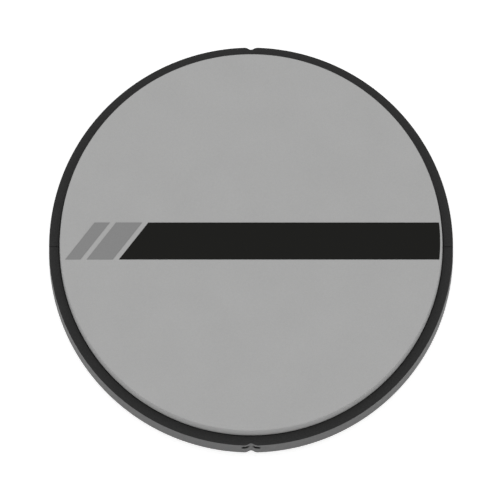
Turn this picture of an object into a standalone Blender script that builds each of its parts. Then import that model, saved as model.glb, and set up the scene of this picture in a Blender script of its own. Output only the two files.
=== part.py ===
"""Dental milling disc: a pressed metal-powder blank bonded into a split plastic rim ring.

Metres, +Z up. The disc lies on its back face with the printed face up. The origin is the middle of
the back face, +Y points to 12 o'clock of the print and +X to 3 o'clock.
"""

import math

import bmesh
import bpy
from mathutils import Matrix, Vector

MM = 0.001

# Rim ring: two like halves that meet at 3 and 9 o'clock
RIM_DIAMETER = 98.5 * MM
RIM_HEIGHT = 10.0 * MM
RIM_WALL = 2.35 * MM
RIM_EDGE_RADIUS = 0.1 * MM
SEAM_GAP = 0.2 * MM

# Blank, bonded into the ring at mid height; its draft is how much less its faces' radius is
BOND_GAP = 0.22 * MM
BLANK_HEIGHT = 22.0 * MM
BLANK_DRAFT = 0.1 * MM
BLANK_EDGE_RADIUS = 0.25 * MM

# Adhesive in that gap, clear of the parts it bonds and short of the rim's faces
BOND_CLEARANCE = 0.02 * MM
BOND_RECESS = 0.05 * MM

# Index notch: a V with a round root and rounded mouth down the whole rim
NOTCH_DEPTH = 0.53 * MM
NOTCH_ANGLE = math.radians(124)
NOTCH_ROOT_RADIUS = 1.0 * MM
NOTCH_MOUTH_RADIUS = 2.0 * MM

# Pocket: a flat-floored slot across the notch, behind a lip at the rim's front face
POCKET_LIP = 2.0 * MM
POCKET_LENGTH = 2.55 * MM
POCKET_WIDTH = 5.7 * MM
POCKET_DEPTH = 0.53 * MM
POCKET_RADIUS = 1.6 * MM

# Printed band and stripes on the blank's front face
INK_THICKNESS = 0.05 * MM
INK_GAP = 0.01 * MM
PRINT_HEIGHT = 9.15 * MM
PRINT_RISE = 0.34 * MM
PRINT_SLANT = math.radians(38.1)
STRIPE_MARGIN = 1.05 * MM
STRIPE_NARROW_WIDTH = 3.75 * MM
STRIPE_WIDE_WIDTH = 6.42 * MM
STRIPE_GAP = 1.47 * MM
BAND_MARGIN = 0.47 * MM

# How far a cutter reaches past what it cuts
CUT_MARGIN = 1.0 * MM

# Facets
RING_STEPS = 180
EDGE_STEPS = 2
ROOT_STEPS = 4
CORNER_STEPS = 6
BAND_END_STEPS = 16
SMOOTH_ANGLE = math.radians(30)

# Sizes that follow
QUARTER_TURN = math.pi / 2
HALF_TURN = math.pi
FULL_TURN = 2 * math.pi
RIM_RADIUS = RIM_DIAMETER / 2
BORE_RADIUS = RIM_RADIUS - RIM_WALL
BLANK_RADIUS = BORE_RADIUS - BOND_GAP
FACE_RADIUS = BLANK_RADIUS - BLANK_DRAFT
RIM_BACK = (BLANK_HEIGHT - RIM_HEIGHT) / 2
RIM_FRONT = RIM_BACK + RIM_HEIGHT
PRINT_TOP = PRINT_RISE + PRINT_HEIGHT / 2
PRINT_BOTTOM = PRINT_RISE - PRINT_HEIGHT / 2


def clear_scene():
    """Start from an empty scene."""
    for existing in list(bpy.data.objects):
        bpy.data.objects.remove(existing, do_unlink=True)


def matt_finish(name, colour, roughness):
    """A non-metallic finish; pressed powder is too rough to shine as solid metal does."""
    finish = bpy.data.materials.new(name)
    finish.use_nodes = True
    shader = finish.node_tree.nodes["Principled BSDF"]
    shader.inputs["Base Color"].default_value = (*colour, 1.0)
    shader.inputs["Roughness"].default_value = roughness
    shader.inputs["Metallic"].default_value = 0.0
    return finish


def add_object(name, mesh):
    """Link a mesh into the scene as a named object."""
    thing = bpy.data.objects.new(name, mesh)
    bpy.context.scene.collection.objects.link(thing)
    return thing


def finished_mesh(bm, name):
    """Turn every face outward, shade the curved stretches smooth and return the mesh."""
    bmesh.ops.recalc_face_normals(bm, faces=bm.faces)
    mesh = bpy.data.meshes.new(name)
    bm.to_mesh(mesh)
    bm.free()
    mesh.shade_smooth()
    mesh.set_sharp_from_angle(angle=SMOOTH_ANGLE)
    return mesh


def arc(centre_x, centre_y, radius, start, end, steps):
    """Points along an arc from one angle to another, both ends included."""
    angles = [start + (end - start) * step / steps for step in range(steps + 1)]
    return [(centre_x + radius * math.cos(a), centre_y + radius * math.sin(a)) for a in angles]


def rounded_rectangle(left, right, low, high, radius, steps):
    """The outline of a rectangle with rounded corners, anticlockwise from its lower right corner."""
    corners = [
        (right - radius, low + radius),
        (right - radius, high - radius),
        (left + radius, high - radius),
        (left + radius, low + radius),
    ]
    outline = []
    for number, (x, y) in enumerate(corners):
        start = (number - 1) * QUARTER_TURN
        outline += arc(x, y, radius, start, start + QUARTER_TURN, steps)
    return outline


def prism(outline, low, high, name):
    """A solid of constant outline between two heights."""
    bm = bmesh.new()
    base = bm.faces.new([bm.verts.new((x, y, low)) for x, y in outline])
    raised = bmesh.ops.extrude_face_region(bm, geom=[base])
    top = [item for item in raised["geom"] if isinstance(item, bmesh.types.BMVert)]
    bmesh.ops.translate(bm, verts=top, vec=(0, 0, high - low))
    return finished_mesh(bm, name)


def swept_section(section, start, sweep, steps, name):
    """A solid made by turning a section of (radius, height) points about the disc's axis."""
    bm = bmesh.new()
    face = bm.faces.new([bm.verts.new((radius, 0, height)) for radius, height in section])
    bmesh.ops.rotate(bm, verts=bm.verts[:], cent=(0, 0, 0), matrix=Matrix.Rotation(start, 3, "Z"))
    geometry = [face, *face.edges, *face.verts]
    bmesh.ops.spin(bm, geom=geometry, cent=(0, 0, 0), axis=(0, 0, 1), angle=sweep, steps=steps)
    return finished_mesh(bm, name)


def turned(profile, closed, name):
    """A solid made by turning (radius, height) points all the way about the disc's axis."""
    bm = bmesh.new()
    corners = [bm.verts.new((radius, 0, height)) for radius, height in profile]
    followers = corners[1:] + corners[:1] if closed else corners[1:]
    sides = [bm.edges.new(pair) for pair in zip(corners, followers)]
    bmesh.ops.spin(
        bm,
        geom=[*corners, *sides],
        cent=(0, 0, 0),
        axis=(0, 0, 1),
        angle=FULL_TURN,
        steps=RING_STEPS,
        use_merge=True,
    )
    bmesh.ops.holes_fill(bm, edges=bm.edges[:])
    return finished_mesh(bm, name)


def blank_profile():
    """Half the blank's section: straight inside the rim, drawn in a little towards both faces."""
    edge_centre = FACE_RADIUS - BLANK_EDGE_RADIUS
    back_edge = arc(edge_centre, BLANK_EDGE_RADIUS, BLANK_EDGE_RADIUS, -QUARTER_TURN, 0, EDGE_STEPS)
    front_edge = [(radius, BLANK_HEIGHT - height) for radius, height in reversed(back_edge)]
    return [*back_edge, (BLANK_RADIUS, RIM_BACK), (BLANK_RADIUS, RIM_FRONT), *front_edge]


def make_blank(finish):
    """The pressed disc, with its two rims rounded."""
    mesh = turned(blank_profile(), False, "blank")
    mesh.materials.append(finish)
    add_object("blank", mesh)


def make_bond_line(finish):
    """The adhesive: a thin sleeve between the blank and the bore of the two halves."""
    inner = BLANK_RADIUS + BOND_CLEARANCE
    outer = BORE_RADIUS - BOND_CLEARANCE
    low = RIM_BACK + BOND_RECESS
    high = RIM_FRONT - BOND_RECESS
    section = [(inner, low), (outer, low), (outer, high), (inner, high)]
    mesh = turned(section, True, "bond_line")
    mesh.materials.append(finish)
    add_object("bond_line", mesh)


def half_ring_mesh(finish):
    """One moulding before its notch: half a ring, short of the seam by half its gap at each end."""
    section = rounded_rectangle(
        BORE_RADIUS, RIM_RADIUS, RIM_BACK, RIM_FRONT, RIM_EDGE_RADIUS, EDGE_STEPS
    )
    seam = math.asin(SEAM_GAP / 2 / RIM_RADIUS)
    sweep = HALF_TURN - 2 * seam
    mesh = swept_section(section, seam, sweep, RING_STEPS // 2, "ring_half")
    mesh.materials.append(finish)
    return mesh


def notch_outline():
    """The V at 12 o'clock: a round root, straight flanks and a mouth rounded into the rim's wall."""
    flank = (HALF_TURN - NOTCH_ANGLE) / 2
    along = Vector((math.cos(flank), math.sin(flank)))
    inward = Vector((math.sin(flank), -math.cos(flank)))
    root_centre = Vector((0, RIM_RADIUS - NOTCH_DEPTH + NOTCH_ROOT_RADIUS))
    root = arc(*root_centre, NOTCH_ROOT_RADIUS, -QUARTER_TURN, flank - QUARTER_TURN, ROOT_STEPS)

    # The mouth's centre is its radius away from the flank, and as far from the rim's wall
    start = root_centre + inward * (NOTCH_ROOT_RADIUS + NOTCH_MOUTH_RADIUS)
    reach = RIM_RADIUS - NOTCH_MOUTH_RADIUS
    lead = start.dot(along)
    mouth_centre = start + along * (math.sqrt(lead**2 - start.dot(start) + reach**2) - lead)
    wall = math.atan2(mouth_centre.y, mouth_centre.x)
    mouth = arc(*mouth_centre, NOTCH_MOUTH_RADIUS, flank + QUARTER_TURN, wall, ROOT_STEPS)

    half = [*root, *mouth, (mouth[-1][0], RIM_RADIUS + CUT_MARGIN)]
    return [(-x, y) for x, y in reversed(half[1:])] + half


def pocket_outline():
    """The slot's flat floor and its rounded corners, open past the rim's wall."""
    reach = POCKET_WIDTH / 2
    floor = RIM_RADIUS - POCKET_DEPTH
    mouth = RIM_RADIUS + POCKET_RADIUS + CUT_MARGIN
    return rounded_rectangle(-reach, reach, floor, mouth, POCKET_RADIUS, CORNER_STEPS)


def cut_away(thing, outline, low, high, name):
    """Cut a prism out of an object, turned with it about the disc's axis."""
    cutter = add_object(name, prism(outline, low, high, name))
    cutter.rotation_euler = thing.rotation_euler
    cutter.hide_render = True
    cutter.display_type = "WIRE"
    cut = thing.modifiers.new(name, "BOOLEAN")
    cut.operation = "DIFFERENCE"
    cut.solver = "EXACT"
    cut.object = cutter


def make_ring_halves(finish):
    """Two like halves, each with its index notch and pocket at the middle."""
    moulding = half_ring_mesh(finish)
    pocket_front = RIM_FRONT - POCKET_LIP
    pocket_back = pocket_front - POCKET_LENGTH
    for side, turn in (("upper", 0.0), ("lower", HALF_TURN)):
        half = add_object(f"ring_half_{side}", moulding)
        half.rotation_euler.z = turn
        cut_away(half, notch_outline(), RIM_BACK - CUT_MARGIN, RIM_FRONT + CUT_MARGIN, f"notch_{side}")
        cut_away(half, pocket_outline(), pocket_back, pocket_front, f"pocket_{side}")


def slanted_bar(left, width):
    """A parallelogram between the print's two long edges; left is its lower left corner."""
    lean = PRINT_HEIGHT * math.tan(PRINT_SLANT)
    right = left + width
    return [(left, PRINT_BOTTOM), (right, PRINT_BOTTOM), (right + lean, PRINT_TOP), (left + lean, PRINT_TOP)]


def band_outline(left):
    """The band: slanted like the stripes at its left end, following the blank's edge at its right."""
    radius = FACE_RADIUS - BAND_MARGIN
    low = math.asin(PRINT_BOTTOM / radius)
    high = math.asin(PRINT_TOP / radius)
    bottom_left, *_, top_left = slanted_bar(left, 0)
    return [bottom_left, *arc(0, 0, radius, low, high, BAND_END_STEPS), top_left]


def make_print(band_ink, stripe_ink):
    """Two stripes and the band, from the face's left edge to its right one."""
    stripe_reach = FACE_RADIUS - STRIPE_MARGIN
    narrow_left = -math.sqrt(stripe_reach**2 - PRINT_BOTTOM**2)
    wide_left = narrow_left + STRIPE_NARROW_WIDTH + STRIPE_GAP
    band_left = wide_left + STRIPE_WIDE_WIDTH + STRIPE_GAP
    fields = [
        ("print_stripe_narrow", slanted_bar(narrow_left, STRIPE_NARROW_WIDTH), stripe_ink),
        ("print_stripe_wide", slanted_bar(wide_left, STRIPE_WIDE_WIDTH), stripe_ink),
        ("print_band", band_outline(band_left), band_ink),
    ]
    ink_back = BLANK_HEIGHT + INK_GAP
    for name, outline, ink in fields:
        mesh = prism(outline, ink_back, ink_back + INK_THICKNESS, name)
        mesh.materials.append(ink)
        add_object(name, mesh)


def main():
    clear_scene()
    make_blank(matt_finish("pressed_powder", (0.386, 0.386, 0.384), 0.75))
    make_bond_line(matt_finish("adhesive", (0.03, 0.03, 0.03), 0.5))
    make_ring_halves(matt_finish("black_plastic", (0.022, 0.022, 0.022), 0.4))
    make_print(
        matt_finish("black_ink", (0.012, 0.012, 0.011), 0.6),
        matt_finish("grey_ink", (0.238, 0.238, 0.238), 0.6),
    )


main()
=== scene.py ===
"""Looks of a dental milling disc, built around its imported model.

A blank of grey pressed powder stands in a split ring of satin black plastic, and its face carries a
black printed band with two grey stripes. Metres, in the model's own frame: +Z out of the printed
face, +Y to 12 o'clock of the print.
"""

import math
from typing import NamedTuple

import bmesh
import bpy
from mathutils import Matrix, Vector


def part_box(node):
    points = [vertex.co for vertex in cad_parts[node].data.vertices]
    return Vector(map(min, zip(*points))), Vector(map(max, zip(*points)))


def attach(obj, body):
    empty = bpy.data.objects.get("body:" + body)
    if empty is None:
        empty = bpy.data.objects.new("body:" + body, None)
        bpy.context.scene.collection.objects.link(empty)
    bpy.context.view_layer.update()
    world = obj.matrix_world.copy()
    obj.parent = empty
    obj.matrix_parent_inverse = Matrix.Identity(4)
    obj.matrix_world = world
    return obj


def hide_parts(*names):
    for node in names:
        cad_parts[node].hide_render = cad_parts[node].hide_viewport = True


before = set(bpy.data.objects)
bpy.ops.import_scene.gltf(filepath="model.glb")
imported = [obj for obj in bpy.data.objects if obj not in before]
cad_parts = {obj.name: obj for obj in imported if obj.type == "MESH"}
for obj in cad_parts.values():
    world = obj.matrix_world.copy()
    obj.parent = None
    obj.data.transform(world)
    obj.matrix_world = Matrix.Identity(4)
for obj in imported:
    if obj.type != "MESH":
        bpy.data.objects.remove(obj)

MM = 0.001
QUARTER_TURN = math.pi / 2
HALF_TURN = math.pi
FULL_TURN = 2 * math.pi

# The photograph: the rim's width and the middle of its front face there
PHOTO_PIXELS = 500
RIM_WIDTH_PIXELS = 404.0
RIM_CENTRE_PIXEL = (251.05, 246.6)
VIEW_ELEVATION = math.radians(80.2)
CAMERA_DISTANCE = 0.5

# Rim ring, with a narrower seam than the model's
RIM_WALL = 2.35 * MM
RIM_EDGE_RADIUS = 0.1 * MM
SEAM_GAP = 0.12 * MM

# Index notch and its pocket, as in the model
NOTCH_DEPTH = 0.53 * MM
NOTCH_ANGLE = math.radians(124)
NOTCH_ROOT_RADIUS = 1.0 * MM
NOTCH_MOUTH_RADIUS = 2.0 * MM
POCKET_LIP = 2.0 * MM
POCKET_LENGTH = 2.55 * MM
POCKET_WIDTH = 5.7 * MM
POCKET_DEPTH = 0.53 * MM
POCKET_RADIUS = 1.6 * MM
CUT_MARGIN = 1.0 * MM

# Blank, as in the model
BLANK_DRAFT = 0.1 * MM
BLANK_EDGE_RADIUS = 0.25 * MM

# Adhesive, drawn back from the rim's faces and from its wall
BOND_RECESS = 0.05 * MM
BOND_OVERLAP = 0.02 * MM
JOINT_FACE_RECESS = 0.2 * MM
JOINT_WALL_RECESS = 0.25 * MM

# Fineness of the round forms
RING_STEPS = 720
EDGE_STEPS = 6
ROOT_STEPS = 12
CORNER_STEPS = 16
SMOOTH_ANGLE = math.radians(20)

# Floor and light
FLOOR_RADIUS = 3.0
FLOOR_STEPS = 96
FLOOR_DROP = 0.01 * MM
FLOOR_GLOW = 0.5
FLOOR_COLOUR = (0.85, 0.85, 0.85, 1.0)
HORIZON_LIGHT = 0.3
ZENITH_LIGHT = 1.35
WHITE = (1.0, 1.0, 1.0, 1.0)

# Sizes read from the model, and those that follow
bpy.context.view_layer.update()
ring_low, ring_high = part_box("ring_half_upper")
_, blank_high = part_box("blank")
RIM_RADIUS = ring_high[0]
RIM_BACK = ring_low[2]
RIM_FRONT = ring_high[2]
BORE_RADIUS = RIM_RADIUS - RIM_WALL
BLANK_RADIUS = blank_high[0]
FACE_RADIUS = BLANK_RADIUS - BLANK_DRAFT
BLANK_HEIGHT = blank_high[2]


class Noise(NamedTuple):
    """Features for each metre, and how much finer noise is laid over them."""

    scale: float
    detail: float = 2.0
    roughness: float = 0.5


class Finish(NamedTuple):
    """The looks of a surface, where colour, roughness and relief all follow one fine grain."""

    grain: Noise
    dark: tuple
    light: tuple
    smoothest: float
    roughest: float
    specular: float
    relief_depth: float
    relief_strength: float


POWDER = Finish(
    grain=Noise(5200, detail=3.0, roughness=0.6),
    dark=(0.354, 0.354, 0.352),
    light=(0.397, 0.397, 0.395),
    smoothest=0.7,
    roughest=0.85,
    specular=0.35,
    relief_depth=0.02 * MM,
    relief_strength=0.3,
)
PLASTIC = Finish(
    grain=Noise(3200),
    dark=(0.009, 0.009, 0.009),
    light=(0.021, 0.021, 0.021),
    smoothest=0.44,
    roughest=0.54,
    specular=0.25,
    relief_depth=0.02 * MM,
    relief_strength=0.6,
)
ADHESIVE = Finish(
    grain=Noise(3200),
    dark=(0.006, 0.006, 0.006),
    light=(0.014, 0.014, 0.014),
    smoothest=0.6,
    roughest=0.8,
    specular=0.15,
    relief_depth=0.03 * MM,
    relief_strength=0.4,
)
BLACK_INK = Finish(
    grain=Noise(4200, detail=3.0),
    dark=(0.0085, 0.0085, 0.0075),
    light=(0.0105, 0.0105, 0.0095),
    smoothest=0.6,
    roughest=0.75,
    specular=0.08,
    relief_depth=0.01 * MM,
    relief_strength=0.3,
)
GREY_INK = BLACK_INK._replace(dark=(0.225, 0.225, 0.225), light=(0.24, 0.24, 0.24))

# The stretch of the noise that the finishes follow, and the powder's mottle and turning marks
NOISE_LOW = 0.3
NOISE_HIGH = 0.7
MOTTLE = Noise(90)
MOTTLE_DARKEST = 0.985
MOTTLE_LIGHTEST = 1.015
TURNING_MARKS = Noise(2600)
TURNING_STRETCH = (0.01, 0.01, 1.0)
TURNING_DEPTH = 0.04 * MM
TURNING_STRENGTH = 0.6


def finished_mesh(bm, name):
    """Turn every face outward, shade the curved stretches smooth and return the mesh."""
    bmesh.ops.recalc_face_normals(bm, faces=bm.faces)
    mesh = bpy.data.meshes.new(name)
    bm.to_mesh(mesh)
    bm.free()
    mesh.shade_smooth()
    mesh.set_sharp_from_angle(angle=SMOOTH_ANGLE)
    return mesh


def add_object(name, data):
    """Link a mesh or a camera into the scene as a named object."""
    thing = bpy.data.objects.new(name, data)
    bpy.context.scene.collection.objects.link(thing)
    return thing


def weigh_normals(thing):
    """Keep the large flat faces flat right up to the small rounded edges."""
    weighted = thing.modifiers.new("weighted_normals", "WEIGHTED_NORMAL")
    weighted.keep_sharp = True


def arc(centre_x, centre_y, radius, start, end, steps):
    """Points along an arc from one angle to another, both ends included."""
    angles = [start + (end - start) * step / steps for step in range(steps + 1)]
    return [(centre_x + radius * math.cos(a), centre_y + radius * math.sin(a)) for a in angles]


def rounded_rectangle(left, right, low, high, radius, steps):
    """The outline of a rectangle with rounded corners, anticlockwise from its lower right corner."""
    corners = [
        (right - radius, low + radius),
        (right - radius, high - radius),
        (left + radius, high - radius),
        (left + radius, low + radius),
    ]
    outline = []
    for number, (x, y) in enumerate(corners):
        start = (number - 1) * QUARTER_TURN
        outline += arc(x, y, radius, start, start + QUARTER_TURN, steps)
    return outline


def prism(outline, low, high, name):
    """A solid of constant outline between two heights."""
    bm = bmesh.new()
    base = bm.faces.new([bm.verts.new((x, y, low)) for x, y in outline])
    raised = bmesh.ops.extrude_face_region(bm, geom=[base])
    top = [item for item in raised["geom"] if isinstance(item, bmesh.types.BMVert)]
    bmesh.ops.translate(bm, verts=top, vec=(0, 0, high - low))
    return finished_mesh(bm, name)


def swept_section(section, start, sweep, steps, name):
    """A solid made by turning a section of (radius, height) points about the disc's axis."""
    bm = bmesh.new()
    face = bm.faces.new([bm.verts.new((radius, 0, height)) for radius, height in section])
    bmesh.ops.rotate(bm, verts=bm.verts[:], cent=(0, 0, 0), matrix=Matrix.Rotation(start, 3, "Z"))
    geometry = [face, *face.edges, *face.verts]
    bmesh.ops.spin(bm, geom=geometry, cent=(0, 0, 0), axis=(0, 0, 1), angle=sweep, steps=steps)
    return finished_mesh(bm, name)


def turned(profile, closed, name):
    """A solid made by turning (radius, height) points all the way about the disc's axis."""
    bm = bmesh.new()
    corners = [bm.verts.new((radius, 0, height)) for radius, height in profile]
    followers = corners[1:] + corners[:1] if closed else corners[1:]
    sides = [bm.edges.new(pair) for pair in zip(corners, followers)]
    bmesh.ops.spin(
        bm,
        geom=[*corners, *sides],
        cent=(0, 0, 0),
        axis=(0, 0, 1),
        angle=FULL_TURN,
        steps=RING_STEPS,
        use_merge=True,
    )
    bmesh.ops.holes_fill(bm, edges=bm.edges[:])
    return finished_mesh(bm, name)


def combined(mesh, others, operation, name):
    """The mesh with the other solids cut from it, or united with it, as a new mesh."""
    thing = add_object(name, mesh)
    tools = [add_object(f"{name}_tool_{number}", other) for number, other in enumerate(others)]
    for tool in tools:
        step = thing.modifiers.new(tool.name, "BOOLEAN")
        step.operation = operation
        step.solver = "EXACT"
        step.object = tool
    evaluated = thing.evaluated_get(bpy.context.evaluated_depsgraph_get())
    result = bpy.data.meshes.new_from_object(evaluated)
    for temporary in (thing, *tools):
        bpy.data.objects.remove(temporary, do_unlink=True)
    result.name = name
    result.shade_smooth()
    result.set_sharp_from_angle(angle=SMOOTH_ANGLE)
    return result


def notch_outline():
    """The V at 12 o'clock: a round root, straight flanks and a mouth rounded into the rim's wall."""
    flank = (HALF_TURN - NOTCH_ANGLE) / 2
    along = Vector((math.cos(flank), math.sin(flank)))
    inward = Vector((math.sin(flank), -math.cos(flank)))
    root_centre = Vector((0, RIM_RADIUS - NOTCH_DEPTH + NOTCH_ROOT_RADIUS))
    root = arc(*root_centre, NOTCH_ROOT_RADIUS, -QUARTER_TURN, flank - QUARTER_TURN, ROOT_STEPS)

    # The mouth's centre is its radius away from the flank, and as far from the rim's wall
    start = root_centre + inward * (NOTCH_ROOT_RADIUS + NOTCH_MOUTH_RADIUS)
    reach = RIM_RADIUS - NOTCH_MOUTH_RADIUS
    lead = start.dot(along)
    mouth_centre = start + along * (math.sqrt(lead**2 - start.dot(start) + reach**2) - lead)
    wall = math.atan2(mouth_centre.y, mouth_centre.x)
    mouth = arc(*mouth_centre, NOTCH_MOUTH_RADIUS, flank + QUARTER_TURN, wall, ROOT_STEPS)

    half = [*root, *mouth, (mouth[-1][0], RIM_RADIUS + CUT_MARGIN)]
    return [(-x, y) for x, y in reversed(half[1:])] + half


def pocket_outline():
    """The slot's flat floor and its rounded corners, open past the rim's wall."""
    reach = POCKET_WIDTH / 2
    floor = RIM_RADIUS - POCKET_DEPTH
    mouth = RIM_RADIUS + POCKET_RADIUS + CUT_MARGIN
    return rounded_rectangle(-reach, reach, floor, mouth, POCKET_RADIUS, CORNER_STEPS)


def half_ring_mesh():
    """One moulded half of the rim, with its notch and pocket."""
    section = rounded_rectangle(
        BORE_RADIUS, RIM_RADIUS, RIM_BACK, RIM_FRONT, RIM_EDGE_RADIUS, EDGE_STEPS
    )
    seam = math.asin(SEAM_GAP / 2 / RIM_RADIUS)
    sweep = HALF_TURN - 2 * seam
    moulding = swept_section(section, seam, sweep, RING_STEPS // 2, "ring_moulding")
    pocket_front = RIM_FRONT - POCKET_LIP
    notch = prism(notch_outline(), RIM_BACK - CUT_MARGIN, RIM_FRONT + CUT_MARGIN, "notch")
    pocket = prism(pocket_outline(), pocket_front - POCKET_LENGTH, pocket_front, "pocket")
    return combined(moulding, [notch, pocket], "DIFFERENCE", "rim_half")


def make_ring(plastic):
    """Both halves of the rim, the lower one half a turn on from the upper."""
    mesh = half_ring_mesh()
    mesh.materials.append(plastic)
    for side, turn in (("upper", 0.0), ("lower", HALF_TURN)):
        half = add_object(f"rim_half_{side}", mesh)
        half.rotation_euler.z = turn
        weigh_normals(half)
        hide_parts(f"ring_half_{side}")
        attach(half, "root")


def blank_profile():
    """Half the blank's section: straight inside the rim, drawn in a little towards both faces."""
    edge_centre = FACE_RADIUS - BLANK_EDGE_RADIUS
    back_edge = arc(edge_centre, BLANK_EDGE_RADIUS, BLANK_EDGE_RADIUS, -QUARTER_TURN, 0, EDGE_STEPS)
    front_edge = [(radius, BLANK_HEIGHT - height) for radius, height in reversed(back_edge)]
    return [*back_edge, (BLANK_RADIUS, RIM_BACK), (BLANK_RADIUS, RIM_FRONT), *front_edge]


def make_blank(powder):
    """The pressed disc, with its two rims rounded."""
    mesh = turned(blank_profile(), False, "blank_body")
    mesh.materials.append(powder)
    body = add_object("blank_body", mesh)
    weigh_normals(body)
    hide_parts("blank")
    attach(body, "root")


def joint_filling_mesh(side):
    """The adhesive in the butt joint on one side of the ring."""
    inner = side * BORE_RADIUS
    outer = side * (RIM_RADIUS - JOINT_WALL_RECESS)
    reach = SEAM_GAP / 2 + BOND_OVERLAP
    outline = [(inner, -reach), (outer, -reach), (outer, reach), (inner, reach)]
    low = RIM_BACK + JOINT_FACE_RECESS
    high = RIM_FRONT - JOINT_FACE_RECESS
    return prism(outline, low, high, "joint_filling")


def make_bond_line(adhesive):
    """The adhesive around the blank and in the butt joints, reaching a little into its neighbours."""
    inner = BLANK_RADIUS - BOND_OVERLAP
    outer = BORE_RADIUS + BOND_OVERLAP
    low = RIM_BACK + BOND_RECESS
    high = RIM_FRONT - BOND_RECESS
    section = [(inner, low), (outer, low), (outer, high), (inner, high)]
    sleeve = turned(section, True, "adhesive_sleeve")
    fillings = [joint_filling_mesh(side) for side in (1, -1)]
    mesh = combined(sleeve, fillings, "UNION", "adhesive_line")
    mesh.materials.append(adhesive)
    line = add_object("adhesive_line", mesh)
    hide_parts("bond_line")
    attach(line, "root")


class Surface:
    """A procedural material, laid in object coordinates."""

    def __init__(self, name):
        self.material = bpy.data.materials.new(name)
        self.material.use_nodes = True
        self.nodes = self.material.node_tree.nodes
        self.links = self.material.node_tree.links
        self.shader = self.nodes["Principled BSDF"]
        self.place = self.nodes.new("ShaderNodeTexCoord").outputs["Object"]

    def noise(self, kind, place=None):
        """Noise of the given kind, over the surface or over other coordinates."""
        texture = self.nodes.new("ShaderNodeTexNoise")
        texture.inputs["Scale"].default_value = kind.scale
        texture.inputs["Detail"].default_value = kind.detail
        texture.inputs["Roughness"].default_value = kind.roughness
        self.links.new(place or self.place, texture.inputs["Vector"])
        return texture.outputs["Fac"]

    def turning_marks(self):
        """Fine grooves left by the lathe: noise that changes with height and hardly along the wall."""
        drawn_out = self.nodes.new("ShaderNodeVectorMath")
        drawn_out.operation = "MULTIPLY"
        drawn_out.inputs[1].default_value = TURNING_STRETCH
        self.links.new(self.place, drawn_out.inputs[0])
        return self.noise(TURNING_MARKS, drawn_out.outputs["Vector"])

    def shade(self, factor, dark, light):
        """A colour that runs from dark to light over the factor's middle stretch."""
        ramp = self.nodes.new("ShaderNodeValToRGB")
        stops = ((NOISE_LOW, dark), (NOISE_HIGH, light))
        for element, (place, colour) in zip(ramp.color_ramp.elements, stops):
            element.position = place
            element.color = (*colour, 1.0)
        self.links.new(factor, ramp.inputs["Fac"])
        return ramp.outputs["Color"]

    def spread(self, factor, low, high):
        """The factor's middle stretch, spread from one value to another."""
        spread = self.nodes.new("ShaderNodeMapRange")
        spread.inputs["From Min"].default_value = NOISE_LOW
        spread.inputs["From Max"].default_value = NOISE_HIGH
        spread.inputs["To Min"].default_value = low
        spread.inputs["To Max"].default_value = high
        self.links.new(factor, spread.inputs["Value"])
        return spread.outputs["Result"]

    def scaled(self, colour, factor):
        """A colour made lighter or darker by a factor."""
        scale = self.nodes.new("ShaderNodeVectorMath")
        scale.operation = "SCALE"
        self.links.new(colour, scale.inputs[0])
        self.links.new(factor, scale.inputs["Scale"])
        return scale.outputs["Vector"]

    def bump(self, height, depth, strength, under=None):
        """Relief of the given depth, laid over another relief."""
        bump = self.nodes.new("ShaderNodeBump")
        bump.inputs["Distance"].default_value = depth
        bump.inputs["Strength"].default_value = strength
        self.links.new(height, bump.inputs["Height"])
        if under:
            self.links.new(under, bump.inputs["Normal"])
        return bump.outputs["Normal"]

    def join(self, socket, value):
        """Feed one of the shader's sockets."""
        self.links.new(value, self.shader.inputs[socket])

    def set(self, socket, value):
        """Give one of the shader's sockets a value that is the same all over."""
        self.shader.inputs[socket].default_value = value


def powder_surface():
    """Grey pressed powder: matt, finely grained and faintly mottled, with turning marks on its wall."""
    powder = Surface("pressed_powder")
    fine = powder.noise(POWDER.grain)
    mottle = powder.spread(powder.noise(MOTTLE), MOTTLE_DARKEST, MOTTLE_LIGHTEST)
    grey = powder.shade(fine, POWDER.dark, POWDER.light)
    powder.join("Base Color", powder.scaled(grey, mottle))
    powder.join("Roughness", powder.spread(fine, POWDER.smoothest, POWDER.roughest))
    powder.set("Specular IOR Level", POWDER.specular)
    grooves = powder.bump(powder.turning_marks(), TURNING_DEPTH, TURNING_STRENGTH)
    relief = powder.bump(fine, POWDER.relief_depth, POWDER.relief_strength, grooves)
    powder.join("Normal", relief)
    return powder.material


def plain_surface(name, finish):
    """An evenly coloured surface: moulded plastic, cured adhesive or printed ink."""
    surface = Surface(name)
    fine = surface.noise(finish.grain)
    surface.join("Base Color", surface.shade(fine, finish.dark, finish.light))
    surface.join("Roughness", surface.spread(fine, finish.smoothest, finish.roughest))
    surface.set("Specular IOR Level", finish.specular)
    surface.join("Normal", surface.bump(fine, finish.relief_depth, finish.relief_strength))
    return surface.material


def dress_print():
    """Lay the inks on the printed films of the model."""
    black = plain_surface("black_ink", BLACK_INK)
    grey = plain_surface("grey_ink", GREY_INK)
    inks = {"print_band": black, "print_stripe_wide": grey, "print_stripe_narrow": grey}
    for node, ink in inks.items():
        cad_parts[node].material_slots[0].material = ink


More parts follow.
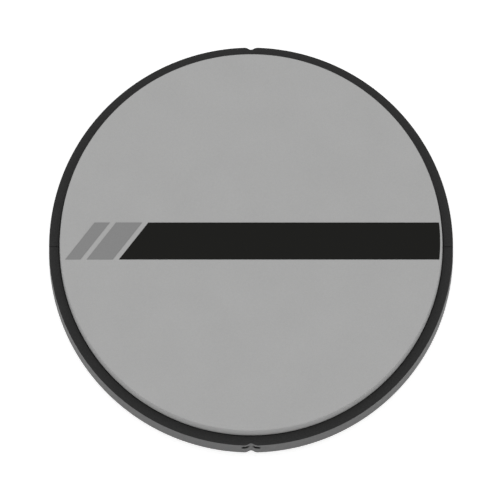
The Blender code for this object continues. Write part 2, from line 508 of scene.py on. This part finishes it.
def make_floor():
    """A white floor that keeps the disc's shadow."""
    bm = bmesh.new()
    bmesh.ops.create_circle(bm, cap_ends=True, segments=FLOOR_STEPS, radius=FLOOR_RADIUS)
    floor = add_object("floor", finished_mesh(bm, "floor"))
    floor.location.z = -FLOOR_DROP
    material = bpy.data.materials.new("floor_white")
    material.use_nodes = True
    nodes = material.node_tree.nodes
    links = material.node_tree.links
    nodes.clear()
    matt = nodes.new("ShaderNodeBsdfDiffuse")
    matt.inputs["Color"].default_value = FLOOR_COLOUR

    # The floor glows only where the camera sees it, straight or in a gloss
    ray = nodes.new("ShaderNodeLightPath")
    seen = nodes.new("ShaderNodeMath")
    seen.operation = "MAXIMUM"
    links.new(ray.outputs["Is Camera Ray"], seen.inputs[0])
    links.new(ray.outputs["Is Glossy Ray"], seen.inputs[1])
    level = nodes.new("ShaderNodeMath")
    level.operation = "MULTIPLY"
    level.inputs[1].default_value = FLOOR_GLOW
    links.new(seen.outputs["Value"], level.inputs[0])
    glow = nodes.new("ShaderNodeEmission")
    links.new(level.outputs["Value"], glow.inputs["Strength"])
    both = nodes.new("ShaderNodeAddShader")
    links.new(matt.outputs["BSDF"], both.inputs[0])
    links.new(glow.outputs["Emission"], both.inputs[1])
    output = nodes.new("ShaderNodeOutputMaterial")
    links.new(both.outputs["Shader"], output.inputs["Surface"])
    floor.data.materials.append(material)


def light_scene():
    """A soft studio light, stronger from above, and white where the camera looks past the floor."""
    world = bpy.data.worlds.new("studio")
    bpy.context.scene.world = world
    world.use_nodes = True
    nodes = world.node_tree.nodes
    links = world.node_tree.links
    nodes.clear()
    direction = nodes.new("ShaderNodeTexCoord")
    height = nodes.new("ShaderNodeSeparateXYZ")
    links.new(direction.outputs["Generated"], height.inputs["Vector"])
    level = nodes.new("ShaderNodeMapRange")
    level.inputs["To Min"].default_value = HORIZON_LIGHT
    level.inputs["To Max"].default_value = ZENITH_LIGHT
    links.new(height.outputs["Z"], level.inputs["Value"])
    light = nodes.new("ShaderNodeBackground")
    light.inputs["Color"].default_value = WHITE
    links.new(level.outputs["Result"], light.inputs["Strength"])
    backdrop = nodes.new("ShaderNodeBackground")
    backdrop.inputs["Color"].default_value = WHITE
    ray = nodes.new("ShaderNodeLightPath")
    either = nodes.new("ShaderNodeMixShader")
    links.new(ray.outputs["Is Camera Ray"], either.inputs["Fac"])
    links.new(light.outputs["Background"], either.inputs[1])
    links.new(backdrop.outputs["Background"], either.inputs[2])
    output = nodes.new("ShaderNodeOutputWorld")
    links.new(either.outputs["Shader"], output.inputs["Surface"])


def set_camera():
    """The photograph's view: parallel, and tilted from the disc's axis towards 6 o'clock."""
    data = bpy.data.cameras.new("camera")
    camera = add_object("camera", data)
    bpy.context.scene.camera = camera
    pixel = 2 * RIM_RADIUS / RIM_WIDTH_PIXELS
    data.type = "ORTHO"
    data.ortho_scale = PHOTO_PIXELS * pixel
    back = Vector((0, -math.cos(VIEW_ELEVATION), math.sin(VIEW_ELEVATION)))
    right = Vector((1, 0, 0))
    up = back.cross(right)
    across = RIM_CENTRE_PIXEL[0] - PHOTO_PIXELS / 2
    down = RIM_CENTRE_PIXEL[1] - PHOTO_PIXELS / 2
    aim = Vector((0, 0, RIM_FRONT)) - right * across * pixel + up * down * pixel
    camera.location = aim + back * CAMERA_DISTANCE
    camera.rotation_euler = (QUARTER_TURN - VIEW_ELEVATION, 0, 0)


set_camera()
make_blank(powder_surface())
make_bond_line(plain_surface("dark_adhesive", ADHESIVE))
make_ring(plain_surface("satin_plastic", PLASTIC))
dress_print()
make_floor()
light_scene()
bpy.context.scene.view_settings.view_transform = "Standard"
